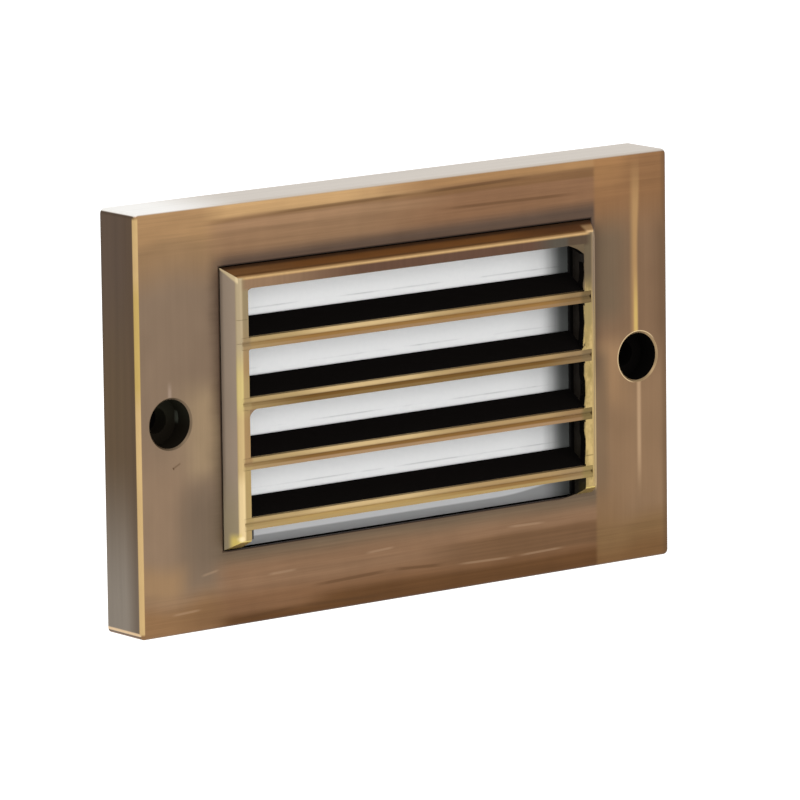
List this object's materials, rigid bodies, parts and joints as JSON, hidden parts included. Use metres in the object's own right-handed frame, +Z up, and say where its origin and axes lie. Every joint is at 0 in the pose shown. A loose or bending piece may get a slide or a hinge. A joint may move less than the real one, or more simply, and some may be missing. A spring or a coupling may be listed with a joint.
{
  "type": "louvred step light",
  "caption": "Recessed brass step light: thick face plate with a raised four-blade louver over a frosted lens, LED light engine and driver in a moulded wall box.",
  "frame": {"origin": "in the wall's surface, midway between the two fixing screws", "axes": "+Y into the wall along the screws, +Z up, +X to the right seen from the front"},
  "size_m": [0.1206, 0.0524, 0.0762],
  "materials": {
    "plate_brass": "relieved antique brass, brushed upright beside the window and level above and below it",
    "louver_brass": "relieved antique brass, brighter along the front edges, black in the recesses",
    "frosted_lens": "frosted",
    "silicone": "matt",
    "stainless": "brushed",
    "screw_steel": "bright zinc",
    "housing_plastic": "fine spark texture",
    "foam": "closed-cell foam",
    "tray_white": "satin white",
    "board_white": "white solder mask on aluminium",
    "emitter": "phosphor under clear resin",
    "spreader_aluminium": "mill",
    "circuit_board": "green solder mask",
    "ferrite": "sintered ferrite",
    "capacitor_can": "drawn can",
    "package_black": "moulded epoxy",
    "terminal_green": "moulded",
    "gland_nylon": "moulded nylon"
  },
  "bodies": {
    "housing": {"rear_housing": "housing_plastic", "housing_seal": "silicone", "wall_gasket": "foam", "reflector_tray": "tray_white", "led_board": "board_white", "led_emitters": "emitter", "heat_spreader": "spreader_aluminium", "board_screws": "screw_steel", "driver_board": "circuit_board", "driver_choke": "ferrite", "driver_capacitor": "capacitor_can", "driver_rectifier": "package_black", "driver_chip": "package_black", "driver_screws": "screw_steel", "terminal_block": "terminal_green", "terminal_screws": "screw_steel", "gland_body": "gland_nylon", "gland_washer": "silicone", "gland_locknut": "gland_nylon", "gland_seal": "silicone", "gland_nut": "gland_nylon"},
    "face": {"face_plate": "plate_brass", "louver_frame": "louver_brass", "louver_blade_1": "louver_brass", "louver_blade_2": "louver_brass", "louver_blade_3": "louver_brass", "louver_blade_4": "louver_brass", "lens": "frosted_lens", "lens_gasket": "silicone", "lens_retainer": "stainless", "retainer_screws": "screw_steel"}
  },
  "joints": [
    {"name": "face_lift_off", "type": "slide", "parent": "housing", "child": "face", "axis": [0, -1, 0], "range_m": [0, 0.04]}
  ]
}
